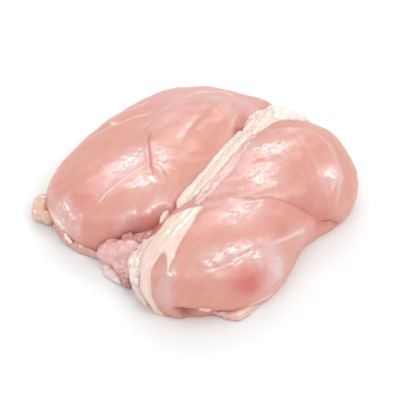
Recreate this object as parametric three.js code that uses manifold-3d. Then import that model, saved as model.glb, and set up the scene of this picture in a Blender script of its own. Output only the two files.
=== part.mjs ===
// A raw double chicken breast, boned and skinned, lying on its cut side with both lobes still joined.
// Millimetres, +Z up. The keel line between the lobes runs along Y, from the tips at -Y to the
// neck end at +Y.
import * as THREE from 'three';
import { mergeVertices } from 'three/addons/utils/BufferGeometryUtils.js';
import Module from 'manifold-3d';

const wasm = await Module();
wasm.setup();

// Driving dimensions of the two lobes
const LEFT_HEIGHT = 35;
const RIGHT_HEIGHT = 37;
const RIM_HEIGHT = 15; // where a lobe is widest, on the keel side
const RIM_DROP = 4; // how much lower the outer sides are widest
const DROP_FROM = 20; // distance from the keel where that drop starts
const DROP_OVER = 50; // and how much further out it is complete
const ROUNDING = 30; // how far in from the rim the edge keeps rising
const DOME_POWER = 2.2; // 2 is a round edge, more is squarer
const TUCK = 8; // how far the edge turns in under itself
const SUNK = 2; // what is cut off to leave a flat base
const PITCH = 0.9; // below 1 the rows of a lobe's grid crowd towards its rim

// Fineness of the surfaces
const AROUND = 80;
const TOP_ROWS = 20;
const UNDER_ROWS = 4;
const RIM_SAMPLES = 240;
const PATH_STEPS = 6; // straight steps for each stretch of a fold's path
const WELD = 0.001; // corners closer than this are one
const CLOSEST = 0.001; // the least distance that the sums divide by
const FLOOR_BLOCK = 400; // side of the block that cuts the base flat

// Rims seen from above, anticlockwise from the keel side
const LEFT_MIDDLE = [-52, 14];
const LEFT_RIM = [
  [11, 20], [12, 50], [13, 75], [6, 90], [-15, 89], [-38, 87], [-58, 78], [-72, 61],
  [-81, 37], [-84, 10], [-82, -16], [-72, -35], [-56, -46], [-37, -47], [-19, -37], [2, -18],
];
const RIGHT_MIDDLE = [38, 22];
const RIGHT_RIM = [
  [64, -8], [63, 6], [66, 19], [73, 32], [74, 49], [65, 68], [48, 80], [24, 81], [6, 66], [-2, 42],
  [-5, 10], [-6, -20], [-9, -40], [-6, -56], [5, -69], [24, -70], [45, -58], [59, -43], [64, -27],
];

// Small sums that the forms share

const smooth = (t) => THREE.MathUtils.smoothstep(t, 0, 1);

function curveThrough(points, closed, count) {
  const corners = points.map(([x, y, z = 0]) => new THREE.Vector3(x, y, z));
  return new THREE.CatmullRomCurve3(corners, closed, 'catmullrom', 0.5).getPoints(count);
}

function rimOf(points, count) {
  return curveThrough(points, true, count).slice(0, -1);
}

// Outward direction at each rim point, in the plane.
function outwardAt(rim, i) {
  const before = rim[(i + rim.length - 1) % rim.length];
  const after = rim[(i + 1) % rim.length];
  return new THREE.Vector3(after.y - before.y, before.x - after.x, 0).normalize();
}

// Distance in from the rim, softened so that it has no ridge midway between two sides:
// the rim's pull at a point is the sum of length over distance to the fourth power.
function depthInside(x, y, rim) {
  let pull = 0;
  rim.forEach((here, i) => {
    const length = here.distanceTo(rim[(i + 1) % rim.length]);
    const square = (here.x - x) ** 2 + (here.y - y) ** 2 + CLOSEST ** 2;
    pull += length / square ** 2;
  });
  return ((2 / Math.PI) * pull) ** (-1 / 3);
}

// Reliefs: each returns the rise in mm at a point of the plan

// Distance from a path, positive on its left, and how far along the path the nearest point is.
function measure(path, x, y) {
  let nearest = Infinity;
  let side = 1;
  let along = 0;
  for (let i = 0; i < path.length - 1; i++) {
    const stepX = path[i + 1].x - path[i].x;
    const stepY = path[i + 1].y - path[i].y;
    const fromX = x - path[i].x;
    const fromY = y - path[i].y;
    const share = THREE.MathUtils.clamp((fromX * stepX + fromY * stepY) / (stepX ** 2 + stepY ** 2), 0, 1);
    const distance = Math.hypot(fromX - share * stepX, fromY - share * stepY);
    if (distance < nearest) {
      nearest = distance;
      side = Math.sign(stepX * fromY - stepY * fromX) || 1;
      along = (i + share) / (path.length - 1);
    }
  }
  return { distance: nearest * side, along };
}

const fadedEnds = (along, share) => smooth(along / share) * smooth((1 - along) / share);

// A groove with round sides, or a ridge where its depth is negative.
function groove(points, width, depth, fade = 0.2) {
  const path = curveThrough(points, false, (points.length - 1) * PATH_STEPS);
  return (x, y) => {
    const { distance, along } = measure(path, x, y);
    return -depth * Math.exp(-((distance / width) ** 2)) * fadedEnds(along, fade);
  };
}

// A step up on the left of the path, which fades away again further off.
function step(points, width, height, spread, fade = 0.2) {
  const path = curveThrough(points, false, (points.length - 1) * PATH_STEPS);
  return (x, y) => {
    const { distance, along } = measure(path, x, y);
    const rise = 0.5 * (1 + Math.tanh(distance / width)) * Math.exp(-Math.max(distance, 0) / spread);
    return height * rise * fadedEnds(along, fade);
  };
}

// A round swelling, or a hollow where its height is negative.
function swelling([middleX, middleY], [radiusX, radiusY], turn, height) {
  const angle = THREE.MathUtils.degToRad(turn);
  return (x, y) => {
    const across = ((x - middleX) * Math.cos(angle) + (y - middleY) * Math.sin(angle)) / radiusX;
    const along = ((y - middleY) * Math.cos(angle) - (x - middleX) * Math.sin(angle)) / radiusY;
    return height * Math.exp(-(across ** 2) - along ** 2);
  };
}

const addUp = (reliefs, x, y) => reliefs.reduce((sum, relief) => sum + relief(x, y), 0);

// The crowns: broad swellings that make each lobe's own shape

const leftCrown = [
  swelling([-8, 48], [20, 34], 8, 6),
  swelling([-82, 20], [34, 70], 0, -11),
];
const rightCrown = [
  swelling([40, 42], [26, 24], 0, 5),
  swelling([30, -28], [24, 28], 0, 4),
  swelling([86, 40], [24, 50], 0, -8),
];

// The folds: grooves, steps and hollows that the muscles and membranes leave

const BULGE_EDGE = [
  [-24, 74], [-31, 68], [-37, 58], [-41, 48], [-42, 38], [-41, 28], [-38, 19], [-34, 11], [-29, 3],
  [-24, -5], [-17, -12],
];
const INNER_GROOVE = [[-18, 56], [-19, 45], [-20, 32], [-22, 14]];
const WAIST = [
  [29, -10], [35, -6], [42, 1], [49, 5], [55, 9], [60, 13], [64, 17], [69, 22], [78, 27],
];
const WAIST_DEEPENS = 4; // from this point of the waist on it opens into a broad dip
const REAR_SHOULDER = [
  [71, 24], [69, 30], [67, 36], [66, 41], [62, 46], [56, 52], [49, 55], [41, 55], [32, 53], [17, 43],
];
const FRONT_SHOULDER = [[62, 7], [61, -3], [59, -14], [55, -26], [51, -34], [46, -42], [40, -51], [33, -58]];
const SHEET_EDGE = [[17, -63], [15, -46], [16, -30], [13, -12]]; // where the thin sheet of fat ends

const leftFolds = [
  step(BULGE_EDGE, 3, 3, 11),
  groove(BULGE_EDGE, 4, 1.2),
  groove(INNER_GROOVE, 3.5, 1.4),
  groove([[-29, 1], [-34, -13], [-38, -28], [-40, -40]], 3, -1.2),
  groove([[-44, 44], [-59, 21], [-69, -5]], 4, 0.8),
  swelling([-40, -20], [8, 18], -18, -2),
  swelling([3, 60], [6, 16], -6, -6),
];
const rightFolds = [
  groove(WAIST, 4.5, 1.8),
  groove(WAIST.slice(WAIST_DEEPENS), 10, 3.2, 0.6),
  step(REAR_SHOULDER, 2.5, 2.2, 9),
  step(FRONT_SHOULDER, 2.5, -1.4, 10),
  step(SHEET_EDGE, 1.4, 1.3, 14),
  swelling([55, -45], [9, 9], 0, -1.4),
];

// Forms: each is one closed surface, a sphere's grid carried onto the shape

const LEFT = {
  middle: LEFT_MIDDLE,
  rim: LEFT_RIM,
  height: LEFT_HEIGHT,
  crown: leftCrown,
  folds: leftFolds,
};
const RIGHT = {
  middle: RIGHT_MIDDLE,
  rim: RIGHT_RIM,
  height: RIGHT_HEIGHT,
  crown: rightCrown,
  folds: rightFolds,
};

// How high a lobe is where it is widest.
const rimHeight = (x) => RIM_HEIGHT - RIM_DROP * smooth((Math.abs(x) - DROP_FROM) / DROP_OVER);

// The dome over a rim at one point of the plan: its height, and the way its surface faces.
function dome(part, fineRim, x, y, outward) {
  const inward = Math.min(depthInside(x, y, fineRim) / ROUNDING, 1);
  const rise = (1 - (1 - inward) ** DOME_POWER) ** (1 / DOME_POWER);
  const base = rimHeight(x);
  const climb = part.height + addUp(part.crown, x, y) - base;
  const away = outward.clone().multiplyScalar((1 - inward) ** (DOME_POWER - 1) / ROUNDING);
  away.z = rise ** (DOME_POWER - 1) / climb;
  return { z: base + climb * rise, away: away.normalize() };
}

// Rounds the plan rim up into a dome, lays the folds on it and turns its edge in beneath.
function lobe(part) {
  const rim = rimOf(part.rim, AROUND);
  const fineRim = rimOf(part.rim, RIM_SAMPLES);
  const [middleX, middleY] = part.middle;
  const rows = TOP_ROWS + UNDER_ROWS + 1;
  const geometry = new THREE.SphereGeometry(1, AROUND, rows);
  const position = geometry.attributes.position;

  function topPoint(column, row) {
    const reach = Math.sin((row / TOP_ROWS) * (Math.PI / 2)) ** PITCH;
    const x = THREE.MathUtils.lerp(middleX, rim[column].x, reach);
    const y = THREE.MathUtils.lerp(middleY, rim[column].y, reach);
    const outward = outwardAt(rim, column);
    const lift = addUp(part.folds, x, y);
    if (row === TOP_ROWS) {
      return new THREE.Vector3(x, y, rimHeight(x)).addScaledVector(outward, lift);
    }
    const { z, away } = dome(part, fineRim, x, y, row === 0 ? new THREE.Vector3() : outward);
    return new THREE.Vector3(x, y, z).addScaledVector(away, lift);
  }

  function underPoint(column, row) {
    if (row === UNDER_ROWS + 1) return new THREE.Vector3(middleX, middleY, -SUNK);
    const turn = (row / UNDER_ROWS) * (Math.PI / 2);
    const edge = topPoint(column, TOP_ROWS);
    edge.z -= (edge.z + SUNK) * Math.sin(turn);
    return edge.addScaledVector(outwardAt(rim, column), -TUCK * (1 - Math.cos(turn)));
  }

  for (let row = 0; row <= rows; row++) {
    for (let column = 0; column <= AROUND; column++) {
      const turn = column % AROUND;
      const point = row <= TOP_ROWS ? topPoint(turn, row) : underPoint(turn, row - TOP_ROWS);
      position.setXYZ(row * (AROUND + 1) + column, point.x, point.y, point.z);
    }
  }
  return geometry;
}

// A round strand along a path: thick is its radius at even steps along it, and it is flattened
// to a share of that radius in the direction away from the heart point, or up and down.
function strand(points, thick, { flat = 1, heart = null, sides = 10, rings = 16 } = {}) {
  const corners = points.map(([x, y, z]) => new THREE.Vector3(x, y, z));
  const path = new THREE.CatmullRomCurve3(corners, false, 'catmullrom', 0.5);
  const geometry = new THREE.SphereGeometry(1, sides, rings);
  const position = geometry.attributes.position;
  for (let i = 0; i < position.count; i++) {
    const unit = new THREE.Vector3().fromBufferAttribute(position, i);
    const share = (1 - unit.y) / 2;
    const middle = path.getPoint(share);
    const ahead = path.getTangent(share);
    const up = heart ? middle.clone().sub(new THREE.Vector3(...heart)) : new THREE.Vector3(0, 0, 1);
    up.addScaledVector(ahead, -up.dot(ahead)).normalize();
    const side = new THREE.Vector3().crossVectors(ahead, up);
    const at = share * (thick.length - 1);
    const from = Math.min(Math.floor(at), thick.length - 2);
    const radius = THREE.MathUtils.lerp(thick[from], thick[from + 1], at - from);
    const full = (Math.hypot(unit.x, unit.z) || 1) ** -0.5; // blunter ends than a sphere has
    const point = middle.addScaledVector(side, -unit.x * full * radius);
    point.addScaledVector(up, unit.z * full * radius * flat);
    position.setXYZ(i, point.x, point.y, point.z);
  }
  return geometry;
}

// A lump: an ellipsoid with a few soft bumps, turned about Z and tipped about its own X.
function lump(middle, radii, { turn = 0, tip = 0, bumps = 0.08, sides = 14, rings = 9 } = {}) {
  const geometry = new THREE.SphereGeometry(1, sides, rings);
  const position = geometry.attributes.position;
  for (let i = 0; i < position.count; i++) {
    const unit = new THREE.Vector3().fromBufferAttribute(position, i);
    const bump = 1 + bumps * Math.sin(3 * unit.x + middle[0]) * Math.cos(4 * unit.y + middle[1]);
    position.setXYZ(i, unit.x * bump, unit.y * bump, unit.z * bump);
  }
  geometry.scale(...radii);
  geometry.rotateX(THREE.MathUtils.degToRad(tip));
  geometry.rotateZ(THREE.MathUtils.degToRad(turn));
  return geometry.translate(...middle);
}

// The breast's parts

// The gristle and fat along the keel: a bed that fills the valley between the lobes, and two
// strands lying side by side on it.
function keelFat() {
  const bed = [[12, 86, 16], [6, 50, 20], [2, 10, 20], [-3, -18, 14]];
  const right = [[16, 68, 30], [14, 54, 32], [11, 40, 34], [10, 26, 34], [9, 8, 33], [7, -18, 32]];
  const left = [[10, 60, 29], [5, 45, 31], [3, 32, 32], [2, 18, 32], [1, 0, 31], [1, -20, 29]];
  return [
    strand(bed, [8, 9, 9, 7], { rings: 8 }),
    strand(right, [4, 5, 4.5, 4, 3], { flat: 0.8 }),
    strand(left, [3, 4.5, 4.5, 4, 4, 3], { flat: 0.8 }),
  ];
}

// Soft fat gathered at the neck end, between the lobes.
function neckFat() {
  return [
    lump([8, 72, 26], [8, 9, 6]),
    lump([16, 75, 26], [9, 7, 7], { turn: 20 }),
    lump([25, 76, 26], [10, 6, 6], { turn: -5 }),
    lump([33, 76, 26], [8, 5, 4], { turn: -15 }),
    lump([17, 67, 28], [7, 10, 6]),
  ];
}

// The band of fat that leaves the sheet on the right lobe and wraps down round its rim.
function fatBand() {
  const path = [
    [2, -14, 28], [-2, -28, 26], [-5, -42, 22], [-5, -54, 18], [1, -64, 11], [8, -68, 6], [13, -68, 2],
  ];
  return [strand(path, [3, 5, 5, 5, 4, 3, 2], { flat: 0.45, heart: [34, -28, 8] })];
}

// The loose scrap of meat and its lumpy fat that fill the notch between the tips.
function scrap() {
  return [
    lump([-20, -43, 7], [14, 12, 9], { turn: 25, tip: -12 }),
    lump([-13, -49, 4], [10, 9, 6], { turn: -30 }),
    lump([-9, -34, 12], [9, 10, 9]),
    lump([-8, -51, 11], [4, 7, 6], { bumps: 0.15 }),
    lump([-2, -60, 5], [5, 7, 6], { turn: 35 }),
  ];
}

// The knob of fat that shows past the left lobe's side.
function fatKnob() {
  return [
    lump([-79, -28, 6], [6, 6, 6.5], { bumps: 0.05 }),
    lump([-74, -32, 4], [6, 4, 5], { bumps: 0.05 }),
  ];
}

// The thin edges of the under layer that peep out below both lobes.
function underLayers() {
  const left = [[-73, -16, 3], [-68, -31, 3], [-56, -41, 3], [-43, -43, 3], [-32, -39, 3]];
  const right = [[32, -54, 3], [42, -51, 3], [51, -44, 3], [56, -34, 3]];
  return [strand(left, [4, 5, 5, 5, 4]), strand(right, [4, 6, 6, 4], { rings: 10 })];
}

// The hollow under the right lobe's tip, where the edge lifts off the under layer.
function tipHollow() {
  return [lump([31, -69, 4], [11, 6, 5], { turn: 20 })];
}

// Joining and cutting

function solidOf(geometry) {
  geometry.deleteAttribute('normal');
  geometry.deleteAttribute('uv');
  const merged = mergeVertices(geometry, WELD);
  return new wasm.Manifold(new wasm.Mesh({
    numProp: 3,
    vertProperties: new Float32Array(merged.attributes.position.array),
    triVerts: new Uint32Array(merged.index.array),
  }));
}

const joined = (geometries) => geometries.map(solidOf).reduce((whole, one) => whole.add(one));

// The triangles of the largest connected shell: hollows that joining seals are filled, and crumbs
// dropped.
function largestShell(triVerts, vertexCount) {
  const leader = Array.from({ length: vertexCount }, (_, i) => i);
  const leaderOf = (i) => {
    while (leader[i] !== i) i = leader[i];
    return i;
  };
  for (let i = 0; i < triVerts.length; i += 3) {
    for (const other of [triVerts[i + 1], triVerts[i + 2]]) {
      leader[leaderOf(other)] = leaderOf(triVerts[i]);
    }
  }
  const shells = new Map();
  for (let i = 0; i < triVerts.length; i += 3) {
    const shell = leaderOf(triVerts[i]);
    if (!shells.has(shell)) shells.set(shell, []);
    shells.get(shell).push(triVerts[i], triVerts[i + 1], triVerts[i + 2]);
  }
  const largest = [...shells.values()].reduce((best, one) => (one.length > best.length ? one : best));
  return new Uint32Array(largest);
}

function geometryOf(solid) {
  const { vertProperties, triVerts } = solid.getMesh();
  const shell = largestShell(triVerts, vertProperties.length / 3);
  const geometry = new THREE.BufferGeometry();
  geometry.setAttribute('position', new THREE.BufferAttribute(vertProperties, 3));
  geometry.setIndex(new THREE.BufferAttribute(shell, 1));
  return geometry;
}

function breast() {
  const fat = [...keelFat(), ...neckFat(), ...fatBand(), ...fatKnob()];
  const forms = [lobe(LEFT), lobe(RIGHT), ...fat, ...scrap()];
  const floor = new THREE.BoxGeometry(FLOOR_BLOCK, FLOOR_BLOCK, FLOOR_BLOCK);
  floor.translate(0, 0, -FLOOR_BLOCK / 2);
  const upper = joined(forms).subtract(joined(tipHollow()));
  const geometry = geometryOf(upper.add(joined(underLayers())).subtract(solidOf(floor)));
  geometry.computeBoundingBox();
  const { min, max } = geometry.boundingBox;
  return geometry.translate(-(min.x + max.x) / 2, -(min.y + max.y) / 2, 0);
}

const meat = new THREE.MeshStandardMaterial({ color: 0xe1aca0, roughness: 0.32, metalness: 0 });
const piece = new THREE.Mesh(breast(), meat);
piece.name = 'chicken_breast';

const model = new THREE.Group();
model.add(piece);

export default model;
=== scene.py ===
"""A raw double chicken breast, boned and skinned, lying on a pale table in soft studio light.

Sizes are in millimetres in the breast's own frame, where the keel line between the lobes runs along Y,
the tips point to -Y and the neck end to +Y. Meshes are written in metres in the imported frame."""

import bpy
import numpy as np
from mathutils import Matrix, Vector


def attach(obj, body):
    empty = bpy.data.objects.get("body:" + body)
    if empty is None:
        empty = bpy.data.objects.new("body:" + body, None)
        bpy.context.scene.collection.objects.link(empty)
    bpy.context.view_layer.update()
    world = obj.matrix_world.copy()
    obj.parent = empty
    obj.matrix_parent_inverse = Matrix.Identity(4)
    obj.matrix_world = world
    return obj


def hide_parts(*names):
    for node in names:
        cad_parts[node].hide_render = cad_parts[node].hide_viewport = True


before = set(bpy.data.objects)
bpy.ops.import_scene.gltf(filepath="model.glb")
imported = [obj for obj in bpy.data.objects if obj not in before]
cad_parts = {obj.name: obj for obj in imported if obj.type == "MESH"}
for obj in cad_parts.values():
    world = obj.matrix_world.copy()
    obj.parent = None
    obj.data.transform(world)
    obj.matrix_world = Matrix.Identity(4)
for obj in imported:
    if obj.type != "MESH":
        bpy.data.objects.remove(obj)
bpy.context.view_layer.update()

MM = 0.001
KEEL_ORIGIN = np.array([5.2, -9.858, 0.0])  # the breast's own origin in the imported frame

# Driving sizes of the two lobes
RIM_HEIGHT = 15  # where a lobe is widest, on the keel side
RIM_DROP = 4  # how much lower the outer sides are widest
DROP_FROM = 20  # distance from the keel where that drop starts
DROP_OVER = 50  # and how much further out it is complete
ROUNDING = 30  # how far in from the rim the edge keeps rising
DOME_POWER = 2.2  # 2 is a round edge, more is squarer
TUCK = 8  # how far the edge turns in under itself
SUNK = 2  # how far below the table the edge's curve would end
UNDERSIDE = 20  # breadth given to the underside when a lobe's skin is laid out flat

# Fineness of the surfaces
AROUND = 560  # points once round a lobe
TOP_ROWS = 146  # from the middle of a lobe's top to its rim
SIDE_ROWS = 20  # from the rim down to the table
UNDER_ROWS = 6  # and across the underside
PITCH = 0.9  # below 1 the rows crowd towards the rim
COVER_AROUND = 860  # what a thin cover would have once round a lobe
COVER_ROWS = 150  # what it would have from the middle of the top to the rim
ROPE_SIDES = 28
ROPE_ROWS = 1.6  # to the millimetre
LUMP_SIDES = 24
LUMP_RINGS = 14
COSINES = 24  # in one ripple
TINY = 0.01  # a step too small to see

# Unevenness of the meat, as ripples of (depth, size, seed), and the reach of its grain
SKIN_RIPPLES = [(0.22, 26, 3), (0.10, 9, 4), (0.03, 3.5, 5)]
CREPE_RIPPLES = [(0.04, 5, 6), (0.03, 2.6, 7)]
GRAIN_REACH = 90


# Sums that the forms share

def smooth(t):
    """Eases from 0 to 1: three times t squared less twice t cubed, level outside."""
    t = np.clip(t, 0, 1)
    return t * t * (3 - 2 * t)


def spline(points, at, closed=False):
    """A smooth curve through the points: on each stretch, the Catmull-Rom cubic of the four points
    round it. The parameter at counts stretches."""
    given = np.array(points, float)
    count = len(given)
    stretches = count if closed else count - 1
    at = np.asarray(at, float) % count if closed else np.asarray(at, float)
    start = np.clip(np.floor(at).astype(int), 0, stretches - 1)
    part = (at - start)[..., None]
    if closed:
        a, b, c, d = (given[(start + shift) % count] for shift in (-1, 0, 1, 2))
    else:
        longer = np.vstack([2 * given[0] - given[1], given, 2 * given[-1] - given[-2]])
        a, b, c, d = (longer[start + shift] for shift in range(4))
    square = 2 * a - 5 * b + 4 * c - d
    cube = 3 * b - a - 3 * c + d
    return 0.5 * (2 * b + (c - a) * part + square * part**2 + cube * part**3)


def through(points, per_stretch=8):
    """The open spline through the points, as a line of short straight pieces."""
    stretches = len(points) - 1
    return spline(points, np.linspace(0, stretches, stretches * per_stretch + 1))


def beside(line, x, y, reach):
    """Distance from a line, positive on its left, and the share of the way along it to the nearest
    point. Beyond reach the distance is endless."""
    distance = np.full(np.shape(x), np.inf)
    along = np.zeros(np.shape(x))
    low = line.min(0) - reach
    high = line.max(0) + reach
    close = (x > low[0]) & (x < high[0]) & (y > low[1]) & (y < high[1])
    near_x, near_y = x[close], y[close]
    best = np.full(near_x.shape, np.inf)
    side = np.ones(near_x.shape)
    share = np.zeros(near_x.shape)
    pieces = len(line) - 1
    for number in range(pieces):
        (ax, ay), (bx, by) = line[number], line[number + 1]
        step_x, step_y = bx - ax, by - ay
        from_x, from_y = near_x - ax, near_y - ay
        part = np.clip((from_x * step_x + from_y * step_y) / (step_x**2 + step_y**2), 0, 1)
        apart = np.hypot(from_x - part * step_x, from_y - part * step_y)
        nearer = apart < best
        best = np.where(nearer, apart, best)
        side = np.where(nearer, np.where(step_x * from_y >= step_y * from_x, 1, -1), side)
        share = np.where(nearer, (number + part) / pieces, share)
    distance[close] = best * side
    along[close] = share
    return distance, along


def ripple(points, size, seed):
    """Smooth unevenness of about unit depth: cosine waves of about that size, in seeded random
    directions, added up."""
    draw = np.random.default_rng(seed)
    ways = draw.normal(size=(COSINES, 3))
    ways /= np.linalg.norm(ways, axis=1, keepdims=True)
    ways *= 2 * np.pi / (size * draw.uniform(0.7, 1.6, (COSINES, 1)))
    phases = draw.uniform(0, 2 * np.pi, COSINES)
    return np.cos(points @ ways.T + phases).sum(-1) * np.sqrt(2 / COSINES)


def uneven(points, ripples):
    """The sum of ripples, each given by its depth, its size and its seed."""
    return sum(depth * ripple(points, size, seed) for depth, size, seed in ripples)


def unit(vectors):
    """The same directions with length one."""
    return vectors / np.maximum(np.linalg.norm(vectors, axis=-1, keepdims=True), 1e-9)


# Layers: each gives an amount at every place (x, y, z) of a lobe's skin, where x and y are laid out flat:
# the dome is seen from above, the side is folded out beyond the rim

def faded(along, fade):
    """1 along the middle of a line, easing to 0 over a share of it at both ends."""
    return smooth(along / fade) * smooth((1 - along) / fade)


def stripe(path, width, amount, fade=0.2):
    """Beside a line: amount times e to the minus squared distance over width."""
    line = through(path)

    def layer(x, y, z):
        distance, along = beside(line, x, y, 3 * width)
        return amount * np.exp(-((distance / width) ** 2)) * faded(along, fade)

    return layer


def step(path, width, amount, spread, fade=0.2):
    """Up by amount from right to left of a line, as a tanh, dying away again over spread."""
    line = through(path)

    def layer(x, y, z):
        distance, along = beside(line, x, y, 5 * spread)
        near = np.isfinite(distance)
        distance = np.where(near, distance, 0)
        rise = 0.5 * (1 + np.tanh(distance / width)) * np.exp(-np.maximum(distance, 0) / spread)
        return np.where(near, amount * rise * faded(along, fade), 0)

    return layer


def spot(middle, radii, turn, amount):
    """A round swelling seen from above: amount times e to the minus squared distance over its radii."""
    angle = np.radians(turn)

    def layer(x, y, z):
        across = ((x - middle[0]) * np.cos(angle) + (y - middle[1]) * np.sin(angle)) / radii[0]
        along = ((y - middle[1]) * np.cos(angle) - (x - middle[0]) * np.sin(angle)) / radii[1]
        return amount * np.exp(-(across**2) - along**2)

    return layer


def blot(middle, radius, amount):
    """The same round a place in space, for where the skin is steep: amount times e to the minus squared
    distance over the radius."""

    def layer(x, y, z):
        square = (x - middle[0]) ** 2 + (y - middle[1]) ** 2 + (z - middle[2]) ** 2
        return amount * np.exp(-square / radius**2)

    return layer


def add_up(layers, x, y, z=0):
    """The sum of the layers at each place."""
    total = np.zeros(np.shape(x))
    for layer in layers:
        total = total + layer(x, y, z)
    return total


def inside(outline, x, y):
    """Distance in from a closed outline, negative outside: the nearest piece's distance, signed by
    how many pieces a line to the right crosses."""
    nearest = np.full(np.shape(x), np.inf)
    crossings = np.zeros(np.shape(x), int)
    for (ax, ay), (bx, by) in zip(outline, np.roll(outline, -1, 0)):
        step_x, step_y = bx - ax, by - ay
        square = step_x**2 + step_y**2
        if square == 0:
            continue
        part = np.clip(((x - ax) * step_x + (y - ay) * step_y) / square, 0, 1)
        nearest = np.minimum(nearest, np.hypot(x - ax - part * step_x, y - ay - part * step_y))
        if step_y != 0:
            spans = (ay > y) != (by > y)
            crossings += spans & (x < ax + (y - ay) * step_x / step_y)
    return np.where(crossings % 2 == 1, nearest, -nearest)


# The lobes: each has its rim seen from above, anticlockwise, the broad swellings that crown its dome, and
# the far points from which its fibres fan out, each with the share that it has at a place

LEFT = {
    "middle": (-52, 14),
    "height": 35,
    "rim": [
        (11, 20), (12, 50), (13, 75), (6, 90), (-15, 89), (-38, 87), (-58, 78), (-72, 61),
        (-81, 37), (-84, 10), (-82, -16), (-72, -35), (-56, -46), (-37, -47), (-19, -37), (2, -18),
    ],
    "crown": [spot((-8, 48), (20, 34), 8, 6), spot((-82, 20), (34, 70), 0, -11)],
    "fans": lambda x, y: [(-15, 140, 1.0)],
}
RIGHT = {
    "middle": (38, 22),
    "height": 37,
    "rim": [
        (64, -8), (63, 6), (66, 19), (73, 32), (74, 49), (65, 68), (48, 80), (24, 81), (6, 66), (-2, 42),
        (-5, 10), (-6, -20), (-9, -40), (-6, -56), (5, -69), (24, -70), (45, -58), (59, -43), (64, -27),
    ],
    "crown": [
        spot((40, 42), (26, 24), 0, 5),
        spot((30, -28), (24, 28), 0, 4),
        spot((86, 40), (24, 50), 0, -8),
    ],
    "fans": lambda x, y: [
        (-20, 90, 1.0 * (y > 0.7 * x - 30)),
        (0, -120, 1.0 * (y <= 0.7 * x - 30)),
    ],
}

# Lines on the lobes, laid out flat, and then the layers that follow them

BULGE_EDGE = [
    (-24, 74), (-31, 68), (-37, 58), (-41, 48), (-42, 38), (-41, 28),
    (-38, 19), (-34, 11), (-29, 3), (-24, -5), (-17, -12),
]
VEIN = [(-29, 1), (-31, -6), (-34, -13), (-36, -21), (-38, -28), (-39, -34), (-40, -40)]
OUTER_LINE = [(-46, 46), (-52, 41), (-59, 37), (-65, 32), (-70, 28), (-77, 19), (-81, 8), (-82, -2)]
OUTER_EDGE = [(-54, 56), (-61, 51), (-69, 44), (-75, 37), (-79, 28), (-82, 18)]
LOWER_FOLD = [(0, -18), (-5, -22), (-8, -25), (-13, -31), (-19, -36), (-24, -41), (-29, -47), (-32, -54)]
LOWER_RIDGES = [
    [(-27, -41), (-25, -38), (-22, -34), (-18, -30)],
    [(-18, -34), (-15, -28), (-11, -21), (-9, -15)],
]
LEFT_HEM = [
    (-83, -18), (-78, -28), (-72, -36), (-65, -41), (-60, -44), (-55, -46),
    (-51, -50), (-47, -54), (-40, -57), (-33, -57),
]
INNER_GROOVE = [(-18, 56), (-19, 45), (-20, 32), (-21, 21), (-22, 14)]
NECK_HOLLOW = [(6, 40), (4, 48), (4, 56), (3, 64), (2, 72)]
BULGE_CORNER = [(4, 38), (1, 46), (-2, 53), (-6, 60), (-10, 66)]
NECK_LINE = [(-34, 62), (-28, 67), (-22, 70.5), (-15, 71), (-7, 69)]
SMALL_FOLDS = [
    [(-29, 17), (-27, 13), (-24, 8), (-22, 3)], [(-24, 13), (-22, 10), (-20, 7), (-19, 3)],
    [(-25, 1), (-20, 0), (-16, -3), (-13, -7)], [(-27, -3), (-22, -3), (-18, -6), (-15, -10)],
]
WAIST = [
    (29, -10), (35, -6), (42, 1), (49, 5), (55, 9), (60, 13), (64, 17), (69, 22), (78, 27), (86, 31),
]
REAR_SHOULDER = [
    (71, 24), (69, 30), (67, 36), (66, 41), (62, 46), (56, 52),
    (49, 55.5), (41, 55.5), (32, 53), (24, 49), (17, 43),
]
FRONT_SHOULDER = [(33, -58), (40, -51), (46, -42), (51, -34), (55, -26), (59, -14), (61, -3), (62, 7)]
NICK = [(39, -45), (41.5, -45), (45, -47)]
TIP_HEM = [
    (25, -74), (28, -72), (32, -70.5), (37.5, -67.8), (43, -66), (49, -63), (54, -59.5), (58.5, -54.5),
    (61.5, -50), (63.5, -45.5), (66.5, -39), (69, -33),
]

LEFT_RELIEF = [
    step(BULGE_EDGE, 2.2, 1.9, 12),
    stripe(BULGE_EDGE[5:], 0.7, -0.6, 0.25),
    stripe(INNER_GROOVE, 4.0, -0.7),
    stripe(VEIN, 0.9, 0.5),
    spot((-42, -20), (7, 17), -14, -2.0),
    stripe(OUTER_LINE, 0.9, 0.5),
    step(OUTER_LINE[::-1], 1.6, -0.9, 12),
    stripe(OUTER_EDGE, 1.2, 0.5),
    step(OUTER_EDGE[::-1], 1.6, -0.8, 9),
    step(LOWER_FOLD, 1.6, -1.4, 9),
    *[stripe(line, 2.4, 0.6, 0.3) for line in LOWER_RIDGES],
    *[stripe(line, 0.9, 0.35, 0.3) for line in SMALL_FOLDS],
    stripe([(-4, -31), (-11, -38), (-18, -44), (-26, -50)], 3.2, -2.6),
    stripe(LEFT_HEM, 1.0, 0.7, 0.1),
    step(LEFT_HEM[::-1], 1.0, -1.5, 7, 0.1),
    stripe(NECK_HOLLOW, 4.0, -1.2),
    step(BULGE_CORNER, 1.6, 1.4, 7),
    stripe(NECK_LINE, 1.2, 0.6),
]
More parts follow.
